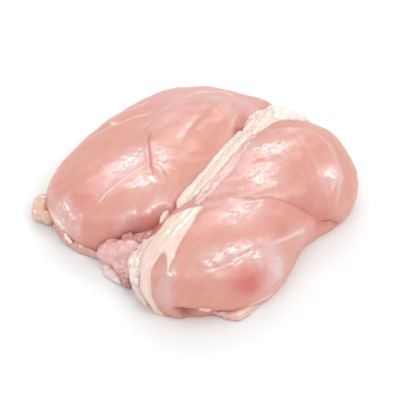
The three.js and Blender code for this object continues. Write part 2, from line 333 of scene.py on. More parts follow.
# Lavender membrane along the lines, and painted sheen on wet zones, along the outer rim and above the lower
# edge
LEFT_VEIL_AND_SHEEN = [
    stripe(VEIN, 4, 0.45),
    spot((-40, -17), (5, 14), -14, 0.75),
    stripe(OUTER_LINE, 1.4, 0.6),
    stripe(OUTER_EDGE, 2.5, 0.5),
    # Painted sheen on a wet zone
    spot((-36, -2), (8, 10), 30, 0.3),
    spot((-14, -24), (8, 6), 30, 0.35),
    # Painted sheen and fill light on the slope above the lower edge
    stripe([(-6, -28), (-14, -34), (-22, -39), (-30, -42)], 4, 0.7),
    spot((-40, 66), (26, 18), 30, 0.65),
    spot((2, 70), (9, 10), 0, 0.7),
    spot((-10, 66), (10, 6), 10, 0.4),
    stripe(BULGE_EDGE[:7], 2.2, 0.7),
    spot((-4, -16), (3.5, 8), 10, 1.0),
    # Painted sheen along the outer rim
    stripe([(-84, -8), (-81, -20), (-76, -30), (-68, -38)], 3.0, 0.6),
]
# Reddened spots of the meat, and painted shade in the crease along the bulge's edge and under the lower edge
LEFT_BLUSH_AND_SHADE = [
    spot((-50, -32), (12, 10), 20, 0.5),
    stripe(NECK_HOLLOW[:4], 3.0, 0.9),
    # Painted shade under the lower edge
    stripe([(2, -20), (-6, -27), (-13, -35), (-21, -43), (-29, -51)], 4.5, 0.45),
    # Painted shade in the crease
    stripe(BULGE_EDGE[5:], 0.9, 0.7),
    spot((-4, -16), (3.5, 8), 10, 0.35),
]
LEFT_PALE = [
    stripe(VEIN, 0.6, 0.7, 0.25),
    stripe(OUTER_LINE, 0.7, 0.6),
    stripe(OUTER_EDGE, 0.8, 0.35),
    stripe(NECK_LINE, 0.8, 0.5),
    stripe(LEFT_HEM, 0.7, 0.6, 0.1),
    spot((-69, 33), (1.1, 3.4), 60, 1.3),
    spot((-4, -26), (3, 5), -20, 0.8),
]
# Wrinkled wet zones, which glint under the coat and also get painted sheen in the meat's colour
LEFT_WRINKLE_AND_SHEEN = [
    spot((-39, -1), (6.5, 13), -20, 1.2),
    spot((-23, -14), (6, 9.5), -32, 1.2),
    stripe([(-26, 15), (-24, 8), (-21, 2), (-17, -4)], 4.0, 0.9),
    stripe([(-19, 45), (-21, 38), (-22, 30), (-23, 22)], 1.6, 0.75),
    spot((-59, -39.5), (7, 5.5), -28, 1.1),
    stripe([(-64, -36), (-57, -42), (-50, -45.5), (-42, -47)], 3.2, 0.6),
    stripe([(-25, -38), (-22, -34), (-18, -30.5)], 2.2, 1.0),
    stripe([(-15, -30), (-12.5, -25), (-11, -21), (-8.5, -15)], 2.2, 1.0),
    stripe([(-6, 62), (-4, 57), (-2, 51), (-1, 44)], 2.0, 1.0),
    spot((-17, 63), (10, 5), 10, 1.0),
    stripe(NECK_HOLLOW[1:4], 2.5, 0.8),
]
# Painted shade under the lower edge
LEFT_PAINTED_SHADE = [stripe([(2, -24), (-6, -32), (-13, -39), (-21, -46)], 2.2, 0.4)]

RIGHT_RELIEF = [
    stripe(WAIST, 2.4, -1.4, 0.15),
    stripe(WAIST, 0.9, -0.8, 0.15),
    step(WAIST[::-1], 1.2, 1.0, 8, 0.2),
    stripe(WAIST[5:], 5, -1.2, 0.6),
    step(REAR_SHOULDER, 1.8, 2.4, 9),
    stripe(REAR_SHOULDER, 0.9, 0.5),
    step(FRONT_SHOULDER[::-1], 1.8, -1.6, 12),
    stripe(FRONT_SHOULDER[3:], 0.8, 0.35),
    stripe(FRONT_SHOULDER[:5], 0.7, -0.35),
    stripe(NICK, 1.2, -0.4),
    spot((54, -43), (8, 8), 0, -1.4),
    step(TIP_HEM[8::-1], 0.8, -5.0, 14, 0.25),
    stripe(TIP_HEM[:9], 0.9, 0.5, 0.2),
    stripe([(21, -76), (27, -75), (33, -74), (40, -70)], 2.2, -3.0, 0.45),
    stripe([(64, 42), (66, 32), (65, 24)], 0.9, 0.35),
]
# Lavender membrane along the shoulders and waist, and painted sheen on the blots and spots laid on wet zones
RIGHT_VEIL_AND_SHEEN = [
    # Painted sheen on a wet zone
    blot((58, -29, 25), 9, 0.8),
    stripe(REAR_SHOULDER, 2.6, 0.5),
    stripe(FRONT_SHOULDER[3:], 2.4, 0.5),
    # Painted sheen on a wet zone
    spot((36, -18), (14, 11), 30, 0.5),
    stripe(WAIST[:6], 2.6, 0.4),
    stripe([(14, 44), (16, 28), (16, 6), (15, -18)], 4.0, 0.45),
    # Painted sheen on a wet zone
    spot((62, 36), (5, 10), 0, 0.4),
    blot((64, 12, 18), 6, 0.5),
    blot((60, -37, 12), 9, 0.6),
]
# Reddened spots of the meat, and painted shade in the waist crease and under the tip's hem
RIGHT_BLUSH_AND_SHADE = [
    blot((51.5, -46.5, 22), 8.5, 1.1),
    blot((54, -44.5, 17), 4, 0.6),
    stripe([(3, -28), (-1, -36), (-4, -44)], 3, 0.35),
    spot((53, -13), (7, 7), 0, 0.5),
    # Painted shade in the waist crease
    stripe(WAIST[3:], 3.2, 0.5, 0.2),
    stripe(WAIST[:5], 0.9, 0.6),
    spot((55, 26), (10, 8), 30, 0.35),
    # Painted shade under the tip's hem
    stripe(TIP_HEM[:8], 2.0, 0.4, 0.15),
]
RIGHT_PALE = [
    stripe(REAR_SHOULDER, 0.8, 0.3),
    stripe(FRONT_SHOULDER[4:], 0.6, 0.6),
    stripe(TIP_HEM[6:], 0.8, 0.9),
]
# Wrinkled wet zones, which glint under the coat and also get painted sheen in the meat's colour
RIGHT_WRINKLE_AND_SHEEN = [
    spot((29, 34), (12, 7), 0, 1.2),
    spot((33, 13), (9.5, 10), -30, 1.2),
    spot((62, 36), (4, 8), -20, 1.1),
    stripe([(29, -33), (35, -22), (39, -11), (43, -3)], 6.0, 0.9),
    spot((35.5, -51), (7, 5.5), 30, 1.3),
    stripe([(40, -48), (45, -41), (50, -36), (56, -33)], 4.5, 1.2),
    spot((59.5, -29), (5, 5.5), 0, 1.3),
    spot((18, -67), (4, 7), 0, 1.2),
    stripe(REAR_SHOULDER[4:], 1.6, 0.8),
    stripe([(14, -21), (22, -18), (30, -9)], 2.0, 0.8),
]
# Painted shade in the crevices under the tip and beside the sheet
RIGHT_PAINTED_SHADE = [
    step(TIP_HEM[:8][::-1], 0.8, 0.9, 3.0, 0.15),
    stripe([(21, -73), (27, -75), (34, -77.5), (40, -73)], 2.2, 0.8, 0.35),
    stripe([(0, -32), (-2.4, -38), (-4.4, -43), (-7, -47)], 2.4, 0.55),
]

LEFT_LAYERS = {
    "relief": LEFT_RELIEF, "veil": LEFT_VEIL_AND_SHEEN, "blush_and_shade": LEFT_BLUSH_AND_SHADE,
    "pale": LEFT_PALE, "wrinkle_and_sheen": LEFT_WRINKLE_AND_SHEEN, "painted_shade": LEFT_PAINTED_SHADE,
}
RIGHT_LAYERS = {
    "relief": RIGHT_RELIEF, "veil": RIGHT_VEIL_AND_SHEEN, "blush_and_shade": RIGHT_BLUSH_AND_SHADE,
    "pale": RIGHT_PALE, "wrinkle_and_sheen": RIGHT_WRINKLE_AND_SHEEN, "painted_shade": RIGHT_PAINTED_SHADE,
}
MASKS = ("veil", "blush_and_shade", "pale", "wrinkle_and_sheen", "painted_shade")


def depth_inside(x, y, rim):
    """Distance in from the rim, softened so that no ridge lies between two sides: the rim's pull is the
    sum over its straight pieces of length over distance to the fourth power, each piece summed exactly,
    and the depth is two over pi times the pull, to the power of minus a third."""
    ahead = np.roll(rim, -1, 0) - rim
    length = np.linalg.norm(ahead, axis=1)
    pull = np.zeros(np.shape(x))
    for (rim_x, rim_y), (way_x, way_y), full in zip(rim, ahead / length[:, None], length):
        along = (x - rim_x) * way_x + (y - rim_y) * way_y
        off = np.maximum(np.abs((x - rim_x) * way_y - (y - rim_y) * way_x), TINY)
        for sign, reach in ((1, full - along), (-1, -along)):
            shallow = reach / (2 * off**2 * (off**2 + reach**2))
            pull += sign * (shallow + np.arctan(reach / off) / (2 * off**3))
    return (2 / np.pi * pull) ** (-1 / 3)


def rim_height(x):
    """How high a lobe is where it is widest: less on its outer side."""
    return RIM_HEIGHT - RIM_DROP * smooth((np.abs(x) - DROP_FROM) / DROP_OVER)


def bare_skin(lobe, turn, share):
    """A lobe's skin without its folds: the rim rounded up into a dome, its edge turned in beneath as a
    quarter ellipse and its underside flat. The turn goes once round the rim from 0 to 1. The share is 0
    at the middle of the top, 1 at the rim, 2 at the underside's edge and 3 at its middle. Returns the
    places in space, and where they lie when the skin is laid out flat."""
    turn, share = np.broadcast_arrays(turn, share)
    corners = len(lobe["rim"])
    at = turn * corners
    rim = spline(lobe["rim"], at, closed=True)
    ahead = spline(lobe["rim"], at + TINY, closed=True) - spline(lobe["rim"], at - TINY, closed=True)
    outward = unit(np.stack([ahead[..., 1], -ahead[..., 0]], -1))
    middle = np.array(lobe["middle"], float)
    plan = middle + np.minimum(share, 1)[..., None] * (rim - middle)
    fine_rim = spline(lobe["rim"], np.linspace(0, corners, AROUND, endpoint=False), closed=True)
    inward = np.clip(depth_inside(plan[..., 0], plan[..., 1], fine_rim) / ROUNDING, 0, 1)
    inward = np.where(share < 1, inward, 0)
    rise = (1 - (1 - inward) ** DOME_POWER) ** (1 / DOME_POWER)
    base = rim_height(plan[..., 0])
    crown = add_up(lobe["crown"], plan[..., 0], plan[..., 1])
    fall = np.clip(share - 1, 0, 1) * np.pi / 2
    height = base + (lobe["height"] + crown - base) * rise - (base + SUNK) * np.sin(fall)
    under = np.clip(share - 2, 0, 1)[..., None]
    laid = plan + outward * (np.where(share > 1, base - height, 0) + UNDERSIDE * under[..., 0])[..., None]
    plan = plan - outward * (TUCK * (1 - np.cos(fall)))[..., None]
    plan = plan + under * (middle - plan)
    return np.concatenate([plan, height[..., None]], -1), laid


def facing(points, closed=True):
    """Outward direction at each point of a grid: the cross product of its two slopes."""
    down = np.gradient(points, axis=0)
    if closed:
        across = np.roll(points, -1, 1) - np.roll(points, 1, 1)
    else:
        across = np.gradient(points, axis=1)
    return unit(np.cross(down, across))


def folded_skin(lobe, layers, turn, share, closed=True):
    """The bare skin with its folds: moved outwards by the sum of its relief layers and a fine
    unevenness, with more of it where the skin is wrinkled and none beneath, and kept above the table.
    Also returns each place laid out flat, with its height."""
    points, laid = bare_skin(lobe, turn, share)
    spread = [laid[..., 0], laid[..., 1], points[..., 2]]
    wrinkled = np.clip(add_up(layers["wrinkle_and_sheen"], *spread), 0, 1)
    lift = add_up(layers["relief"], *spread) + uneven(points, SKIN_RIPPLES)
    lift = (lift + wrinkled * uneven(points, CREPE_RIPPLES)) * np.clip(3 - 1.5 * share, 0, 1)
    places = points + facing(points, closed) * lift[..., None]
    places[..., 2] = np.maximum(places[..., 2], 0)
    return places, np.stack(spread, -1)


def grain_of(lobe, laid):
    """Where each place lies in its muscle's grain: across the fibres and along them. The fibres fan out
    from a far point, across is the angle round it times a fixed reach, and along the distance from it."""
    x, y = laid[..., 0], laid[..., 1]
    across = np.zeros(np.shape(x))
    along = np.zeros(np.shape(x))
    for far_x, far_y, share in lobe["fans"](x, y):
        across += share * np.arctan2(y - far_y, x - far_x) * GRAIN_REACH
        along += share * np.hypot(x - far_x, y - far_y)
    return np.stack([across, along, np.zeros(np.shape(x))], -1)


# Building meshes

def new_mesh(name, points, faces, masks=None, grain=None):
    """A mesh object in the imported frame, from places in the breast's own frame in millimetres."""
    mesh = bpy.data.meshes.new(name)
    mesh.from_pydata(((points + KEEL_ORIGIN) * MM).tolist(), [], [face.tolist() for face in faces])
    for mask, values in (masks or {}).items():
        data = mesh.attributes.new(mask, "FLOAT", "POINT").data
        data.foreach_set("value", np.clip(values, 0, 1).astype(np.float32).ravel())
    if grain is not None:
        data = mesh.attributes.new("grain", "FLOAT_VECTOR", "POINT").data
        data.foreach_set("vector", (grain * MM).astype(np.float32).ravel())
    mesh.shade_smooth()
    mesh.update()
    piece = bpy.data.objects.new(name, mesh)
    bpy.context.scene.collection.objects.link(piece)
    return piece


def quads(rows, columns, first, wrap):
    """Faces of a grid whose points are numbered row by row from first."""
    across = np.arange(columns if wrap else columns - 1)
    row, column = np.meshgrid(np.arange(rows - 1), across, indexing="ij")
    ahead = (column + 1) % columns
    corners = [(row, column), (row + 1, column), (row + 1, ahead), (row, ahead)]
    return np.stack([first + r * columns + c for r, c in corners], -1).reshape(-1, 4)


def globe_faces(rows, columns, first=0):
    """Faces of a closed shape: one point, then rings, then one last point."""
    ring = np.arange(columns)
    ahead = (ring + 1) % columns
    last = first + 1 + rows * columns
    top = np.stack([np.full(columns, first), first + 1 + ring, first + 1 + ahead], -1)
    final = last - columns
    bottom = np.stack([np.full(columns, last), final + ahead, final + ring], -1)
    return [*top, *quads(rows, columns, first + 1, True), *bottom]


def globe(grid):
    """Points of a closed shape from a grid whose first and last rows are each one point."""
    return np.vstack([grid[0, :1], grid[1:-1].reshape(-1, grid.shape[-1]), grid[-1, :1]])


def finish(piece, material):
    """Gives a piece its material and its body."""
    piece.data.materials.append(material)
    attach(piece, "root")
    return piece


def lobe_piece(name, lobe, layers):
    """A whole lobe as one closed skin, with its colour layers kept as masks and its grain."""
    top = np.sin(np.linspace(0, 1, TOP_ROWS) * np.pi / 2) ** PITCH
    side = 1 + np.linspace(0, 1, SIDE_ROWS + 1)[1:]
    under = 2 + np.linspace(0, 1, UNDER_ROWS + 1)[1:]
    share = np.concatenate([top, side, under])
    turn = np.arange(AROUND) / AROUND
    points, spread = folded_skin(lobe, layers, turn[None, :], share[:, None])
    flat = globe(np.concatenate([points, spread], -1))
    masks = {mask: add_up(layers[mask], *flat[:, 3:].T) for mask in MASKS}
    faces = globe_faces(len(share) - 2, AROUND)
    return new_mesh(name, flat[:, :3], faces, masks, grain_of(lobe, flat[:, 3:]))


def rope_shape(path, radii, seed, flat=0.85, strands=3, twist=2.0, rough=1.0):
    """A strand along a path: a ring of points carried along it, its radius read off an even row of
    radii, flattened from above, scored by a few lengthwise grooves that twist slowly, and uneven. Its
    rows crowd towards both ends, where it closes as a round tip."""
    line = through(path, 12)
    length = np.linalg.norm(np.diff(line, axis=0), axis=1).sum()
    rows = int(length * ROPE_ROWS)
    share = (1 - np.cos(np.linspace(0, np.pi, rows))) / 2
    share = 0.5 * share + 0.5 * np.linspace(0, 1, rows)
    middle = spline(path, share * (len(path) - 1))
    ahead = unit(np.gradient(middle, axis=0))
    side = unit(np.cross(ahead, np.array([0, 0, 1.0])))
    up = np.cross(side, ahead)
    radius = spline(np.array(radii)[:, None], share * (len(radii) - 1))[:, 0]
    radius = radius * np.minimum(1, 4 * np.sqrt(share * (1 - share)) + 0.001)
    angle = np.linspace(0, 2 * np.pi, ROPE_SIDES, endpoint=False)[None, :]
    grooves = 1 + 0.10 * np.cos(strands * angle + twist * 2 * np.pi * share[:, None])
    reach = (radius[:, None] * grooves)[..., None]
    ring = side[:, None] * np.cos(angle)[..., None] + up[:, None] * np.sin(angle)[..., None] * flat
    points = middle[:, None] + ring * reach
    waves = uneven(points, [(0.22, 6, seed), (0.10, 2.5, seed + 1)])
    points = points + unit(ring) * rough * waves[..., None]
    points[0] = middle[0]
    points[-1] = middle[-1]
    points[..., 2] = np.maximum(points[..., 2], 0)
    return points


def rope(name, path, radii, **options):
    """One closed strand."""
    grid = rope_shape(path, radii, **options)
    return new_mesh(name, globe(grid), globe_faces(len(grid) - 2, grid.shape[1]))


def lump_shape(middle, radii, turn=0, tip=0):
    """An ellipsoid tipped about X and then turned about Z."""
    down = np.linspace(0, np.pi, LUMP_RINGS + 2)[:, None]
    angle = np.linspace(0, 2 * np.pi, LUMP_SIDES, endpoint=False)[None, :]
    ball = [np.sin(down) * np.cos(angle), np.sin(down) * np.sin(angle), np.cos(down) * np.ones_like(angle)]
    ball = np.stack(ball, -1) * np.array(radii, float)
    tip, turn = np.radians(tip), np.radians(turn)
    x, y, z = ball[..., 0], ball[..., 1], ball[..., 2]
    y, z = y * np.cos(tip) - z * np.sin(tip), y * np.sin(tip) + z * np.cos(tip)
    x, y = x * np.cos(turn) - y * np.sin(turn), x * np.sin(turn) + y * np.cos(turn)
    return np.stack([x, y, z], -1) + np.array(middle, float)


def lumps(*places):
    """Ellipsoids, each given by its middle and radii, and its turn and tip where it has them."""
    return [lump_shape(*place) for place in places]


def melted(name, shapes, voxel, relax, rough, size, seed):
    """Closed shapes run together into one skin by a voxel remesh, relaxed, and made uneven by rough
    millimetres of waves of that size."""
    points, faces = [], []
    count = 0
    for grid in shapes:
        points.append(globe(grid))
        faces.extend(globe_faces(len(grid) - 2, grid.shape[1], count))
        count += len(points[-1])
    rough_piece = new_mesh(name + "_rough", np.vstack(points), faces)
    remesh = rough_piece.modifiers.new("remesh", "REMESH")
    remesh.mode = "VOXEL"
    remesh.voxel_size = voxel * MM
    relaxing = rough_piece.modifiers.new("relax", "SMOOTH")
    relaxing.iterations = relax
    relaxing.factor = 0.5
    depsgraph = bpy.context.evaluated_depsgraph_get()
    mesh = bpy.data.meshes.new_from_object(rough_piece.evaluated_get(depsgraph))
    bpy.data.objects.remove(rough_piece)
    count = len(mesh.vertices)
    places = np.empty(count * 3)
    ways = np.empty(count * 3)
    mesh.vertices.foreach_get("co", places)
    mesh.vertex_normals.foreach_get("vector", ways)
    places = places.reshape(-1, 3)
    own = places / MM - KEEL_ORIGIN
    lift = uneven(own, [(rough, size, seed), (rough / 2, size / 2.3, seed + 1)])
    places = places + ways.reshape(-1, 3) * lift[:, None] * MM
    places[:, 2] = np.maximum(places[:, 2], 0)
    mesh.vertices.foreach_set("co", places.ravel())
    mesh.shade_smooth()
    mesh.update()
    mesh.name = name
    piece = bpy.data.objects.new(name, mesh)
    bpy.context.scene.collection.objects.link(piece)
    return piece


def outlined(parts, depth=0, seed=0):
    """A closed outline through the points of each part in turn, moved sideways by ripples of that
    depth."""
    outline = np.vstack([through(part) for part in parts])
    outline[:, 0] += depth * ripple(np.pad(outline, ((0, 0), (0, 1))), 4, seed)
    return outline


def shell_faces(faces, count):
    """Faces of a closed shell from those of its upper side: the same turned over, whose points are
    numbered count further on, and a wall along every edge that only one face has."""
    edges = np.concatenate([faces[:, [side, (side + 1) % 4]] for side in range(4)])
    known, uses = np.unique(np.sort(edges, 1), axis=0, return_counts=True)
    rim = {tuple(pair) for pair in known[uses == 1].tolist()}
    walls = np.array([pair for pair in edges.tolist() if tuple(sorted(pair)) in rim])
    sides = np.stack([walls[:, 1], walls[:, 0], walls[:, 0] + count, walls[:, 1] + count], -1)
    return [*faces, *(faces[:, ::-1] + count), *sides]


def cover(name, lobe, layers, turns, shares, outline, thick, edge, rough, seed):
    """A thin skin laid over part of a lobe inside an outline: the lobe's own skin lifted by thick times
    tanh of the distance in from the outline over edge, so that it sinks in just outside the outline,
    with an underside buried in the lobe. Its thin mask is 1 at the outline."""
    turn = np.linspace(*turns, int((turns[1] - turns[0]) * COVER_AROUND))
    share = np.linspace(*shares, int((shares[1] - shares[0]) * COVER_ROWS))
    points, spread = folded_skin(lobe, layers, turn[None, :], share[:, None], closed=False)
    out = facing(points, closed=False)
    depth = inside(outline, spread[..., 0], spread[..., 1])
    pleats = ripple(spread * np.array([1.0, 0.12, 0.12]), 3.2, seed)
    lift = thick * np.tanh(depth / edge) + rough * (pleats + ripple(points, 7, seed)) * smooth(depth / 3)
    above = points + out * lift[..., None]
    below = points - out * (2.5 * thick)
    for layer in (above, below):
        layer[..., 2] = np.maximum(layer[..., 2], 0)
    keep = depth > -2.5 * edge
    faces = quads(*depth.shape, 0, False)
    faces = faces[keep.ravel()[faces].any(1)]
    used, faces = np.unique(faces, return_inverse=True)
    both = np.vstack([above.reshape(-1, 3)[used], below.reshape(-1, 3)[used]])
    thin = np.tile(1 - smooth(depth.ravel()[used] / 2.2), 2)
    grain = np.tile(spread.reshape(-1, 3)[used], (2, 1))
    return new_mesh(name, both, shell_faces(faces.reshape(-1, 4), len(used)), {"thin": thin}, grain)


# Materials

# Noise cells to the metre across the grain, along it and off it
FIBRES = (800, 45, 1)
STREAKS = (260, 16, 1)
CREASES = (1500, 280, 1)
FAT_STREAKS = (420, 26, 26)

# What the masks add to the meat: strength and screen colour
MASK_TINTS = {
    # Lavender of membrane, and partly painted sheen: some spots and bands lie where highlights and grazing
    # light fall
    "veil": (0.7, (221, 179, 181)),
    # Reddened spots of the meat, and painted shade in creases and under edges
    "blush_and_shade": (0.8, (198, 74, 62)),
    # Painted shade: dark red in crevices and under overhanging edges
    "painted_shade": (0.85, (150, 52, 44)),
    "pale": (0.8, (240, 220, 208)),
    # Painted sheen: the wrinkled wet zones are tinted lighter and less red, the way their highlights look
    "wrinkle_and_sheen": (0.2, (214, 172, 166)),
}

# Shader sockets that are the same all over. The indices are above water's, so that the glints carry
MEAT_FINISH = {
    "Roughness": 0.38, "IOR": 1.6, "Specular IOR Level": 1.0, "Coat Roughness": 0.19, "Coat IOR": 2.3,
    "Subsurface Weight": 0.6, "Subsurface Radius": (1.0, 0.36, 0.24), "Subsurface Scale": 0.004,
}
FAT_FINISH = {
    "Roughness": 0.26, "IOR": 1.8, "Specular IOR Level": 1.0,
    "Subsurface Weight": 0.5, "Subsurface Radius": (1.0, 0.6, 0.45), "Subsurface Scale": 0.003,
}
TABLE_FINISH = {"Base Color": (0.84, 0.87, 0.875, 1), "Roughness": 0.7, "Specular IOR Level": 0.2}
MEAT_BUMPS = 0.00012  # metres
FAT_BUMPS = 0.0002


def tint(colour):
    """A colour as a screen shows it, in linear light. A socket is passed on."""
    if isinstance(colour, bpy.types.NodeSocket):
        return colour
    screen = np.array(colour) / 255
    linear = np.where(screen <= 0.04045, screen / 12.92, ((screen + 0.055) / 1.055) ** 2.4)
    return (*linear.tolist(), 1.0)


def put(tree, kind, feeds=None, **settings):
    """Adds a node, sets its properties, and feeds its inputs with sockets or plain values."""
    made = tree.nodes.new(kind)
    for name, value in settings.items():
        setattr(made, name, value)
    for name, value in (feeds or {}).items():
        if isinstance(value, bpy.types.NodeSocket):
            tree.links.new(value, made.inputs[name])
        else:
            made.inputs[name].default_value = value
    return made


def blended(tree, share, first, second):
    """A colour mixed from two by a share. Inputs 6 and 7 of the node are its colours."""
    feeds = {0: share, 6: tint(first), 7: tint(second)}
    return put(tree, "ShaderNodeMix", feeds, data_type="RGBA").outputs[2]


def maths(tree, how, first, second=0.0, clamp=False):
    """One sum of two values."""
    return put(tree, "ShaderNodeMath", {0: first, 1: second}, operation=how, use_clamp=clamp).outputs[0]


def plus(tree, first, second, clamp=False):
    """Two values added."""
    return maths(tree, "ADD", first, second, clamp)


def minus(tree, first, second, clamp=False):
    """The first value less the second."""
    return maths(tree, "SUBTRACT", first, second, clamp)


def times(tree, first, second, clamp=False):
    """Two values multiplied."""
    return maths(tree, "MULTIPLY", first, second, clamp)


def rising(tree, value, start, slope):
    """0 up to start, then up by that slope as far as 1."""
    return times(tree, minus(tree, value, start), slope, clamp=True)


def noise(tree, where, scale, detail=2.0, rough=0.5, twist=0.0):
    """Cloudy noise between 0 and 1."""
    feeds = {"Vector": where, "Scale": scale, "Detail": detail, "Roughness": rough, "Distortion": twist}
    return put(tree, "ShaderNodeTexNoise", feeds).outputs[0]


def group(name, inputs, outputs):
    """An empty node group with named sockets, each given as (name, kind, start value)."""
    tree = bpy.data.node_groups.new(name, "ShaderNodeTree")
    for label, kind, start in inputs:
        socket = tree.interface.new_socket(label, in_out="INPUT", socket_type=kind)
        if start is not None:
            socket.default_value = start
    for label, kind in outputs:
        tree.interface.new_socket(label, in_out="OUTPUT", socket_type=kind)
    return tree, tree.nodes.new("NodeGroupInput").outputs, tree.nodes.new("NodeGroupOutput").inputs


def wrinkle_group():
    """Height of wet, creased membrane: ridges where cloudy noise crosses its middle value, at two sizes."""
    tree, given, result = group(
        "membrane_wrinkles",
        [("Vector", "NodeSocketVector", None), ("Scale", "NodeSocketFloat", 500.0)],
        [("Height", "NodeSocketFloat")],
    )
    ridges = []
    for share in (1.0, 2.1):
        cloud = noise(tree, given["Vector"], times(tree, given["Scale"], share), 2.0, 0.55, 0.8)
        apart = maths(tree, "ABSOLUTE", minus(tree, cloud, 0.5))
        ridges.append(minus(tree, 1.0, times(tree, apart, 6.0), clamp=True))
    tree.links.new(plus(tree, ridges[0], times(tree, ridges[1], 0.5)), result["Height"])
    return tree


def mottle_group():
    """Two sizes of cloudiness: a broad one and a fine one, each between 0 and 1 with more contrast."""
    tree, given, result = group(
        "mottling",
        [("Vector", "NodeSocketVector", None), ("Scale", "NodeSocketFloat", 60.0)],
        [("Broad", "NodeSocketFloat"), ("Fine", "NodeSocketFloat")],
    )
    for label, share, contrast in (("Broad", 1.0, 2.2), ("Fine", 6.0, 1.8)):
        cloud = noise(tree, given["Vector"], times(tree, given["Scale"], share), 3.0, 0.55, 0.3)
        spread = times(tree, minus(tree, cloud, 0.5), contrast)
        tree.links.new(plus(tree, spread, 0.5, clamp=True), result[label])
    return tree


def placed(tree, shared, where, scale):
    """A shared group at a place and scale."""
    return put(tree, "ShaderNodeGroup", {"Vector": where, "Scale": scale}, node_tree=shared).outputs


def start_material(name):
    """A new material, with its tree, its shader and its object coordinates."""
    material = bpy.data.materials.new(name)
    material.use_nodes = True
    tree = material.node_tree
    return material, tree, tree.nodes["Principled BSDF"], put(tree, "ShaderNodeTexCoord").outputs["Object"]


def settle(shader, values):
    """Sets the shader's own sockets."""
    for socket, value in values.items():
        shader.inputs[socket].default_value = value


def mask_value(tree, name, strength=1.0):
    """A mask kept on the mesh, times a strength."""
    return times(tree, put(tree, "ShaderNodeAttribute", attribute_name=name).outputs["Fac"], strength)


def along_grain(tree, cells, detail, rough, twist):
    """Noise that follows the muscle's grain, with so many cells to the metre each way."""
    grain = put(tree, "ShaderNodeAttribute", attribute_name="grain").outputs["Vector"]
    where = put(tree, "ShaderNodeMapping", {"Vector": grain, "Scale": cells}).outputs[0]
    return noise(tree, where, 1.0, detail, rough, twist)


def bumpy(tree, shader, where, height, depth):
    """Bumps of that depth, from a height and the fine specks that all flesh has."""
    specks = times(tree, noise(tree, where, 1500.0, 2.0, 0.6), 0.4)
    feeds = {"Height": plus(tree, height, specks), "Strength": 1.0, "Distance": depth}
    tree.links.new(put(tree, "ShaderNodeBump", feeds).outputs[0], shader.inputs["Normal"])


def meat_material(name, mottling):
    """Raw breast meat: rose on top and salmon lower down in clouds, lower down also a touch lighter as
    painted fill light for the dimmer low sides, with fine streaks along the grain, and over them the tints
    of the masks, some of which are painted sheen and painted shade.
    Where the mask of wrinkled wet zones is high a wet film lies in fine creases along the grain, whose
    ridges are lighter as painted highlights.
    It is a coat whose weight is the mask times half plus seven tenths of the creases, so it glints only
    there. Bumps are those creases, fibres and specks."""
    material, tree, shader, where = start_material(name)
    height = put(tree, "ShaderNodeSeparateXYZ", {0: where}).outputs[2]
    feeds = {"Value": height, "From Min": 0.008, "From Max": 0.034}
    level = put(tree, "ShaderNodeMapRange", feeds).outputs[0]
    clouds = placed(tree, mottling, where, 42.0)
    fibres = along_grain(tree, FIBRES, 3.0, 0.6, 0.3)
    streaks = rising(tree, along_grain(tree, STREAKS, 3.0, 0.6, 0.6), 0.5, 3.0)
    creases = rising(tree, along_grain(tree, CREASES, 2.0, 0.6, 1.0), 0.42, 4.0)
    # Painted fill light: the meat is a touch lighter and more salmon lower down, where the low sides get
    # less light
    colour = blended(tree, level, (214, 141, 122), (208, 140, 124))
    colour = blended(tree, times(tree, clouds["Broad"], 0.4), colour, (216, 160, 144))
    colour = blended(tree, times(tree, clouds["Fine"], 0.2), colour, (204, 123, 107))
    colour = blended(tree, times(tree, streaks, 0.55), colour, (219, 170, 162))
    for mask, (strength, shade) in MASK_TINTS.items():
        colour = blended(tree, mask_value(tree, mask, strength), colour, shade)
    wrinkled = mask_value(tree, "wrinkle_and_sheen")
    # Painted highlights: the crease ridges in the wet zones are lighter, near white
    painted_glints = times(tree, times(tree, creases, wrinkled), 0.35, clamp=True)
    colour = blended(tree, painted_glints, colour, (240, 222, 218))
    tree.links.new(colour, shader.inputs["Base Color"])
    film = plus(tree, times(tree, creases, 0.7), 0.5)
    tree.links.new(times(tree, film, wrinkled, clamp=True), shader.inputs["Coat Weight"])
    bumps = times(tree, creases, plus(tree, times(tree, wrinkled, 1.1), 0.08))
    bumpy(tree, shader, where, plus(tree, bumps, times(tree, fibres, 0.5)), MEAT_BUMPS)
    settle(shader, MEAT_FINISH)
    return material


def fat_material(name, main, second, wrinkles, mottling, crease, scale=420.0, between=None, streaky=None):
    """Raw fat, gristle, membrane or a scrap of meat: two tones in clouds, creased and softly wet. A
    between colour lies between the ridges. A streaky colour runs in streaks along the grain, and shows
    through where the thin mask says."""
    material, tree, shader, where = start_material(name)
    clouds = placed(tree, mottling, where, 160.0)
    ridges = placed(tree, wrinkles, where, scale)["Height"]
    colour = blended(tree, clouds["Broad"], main, second)
    colour = blended(tree, times(tree, clouds["Fine"], 0.3), colour, (238, 222, 210))
    bumps = times(tree, ridges, crease)
    if between:
        colour = blended(tree, minus(tree, 0.75, ridges, clamp=True), colour, between)
    if streaky:
        streaks = along_grain(tree, FAT_STREAKS, 3.0, 0.6, 0.5)
        bumps = plus(tree, bumps, times(tree, streaks, 0.8))
        streaks = rising(tree, streaks, 0.46, 4.0)
        colour = blended(tree, times(tree, streaks, 0.6), colour, streaky)
        colour = blended(tree, mask_value(tree, "thin", 0.6), colour, streaky)
    tree.links.new(colour, shader.inputs["Base Color"])
    bumpy(tree, shader, where, bumps, FAT_BUMPS)
    settle(shader, FAT_FINISH)
    return material


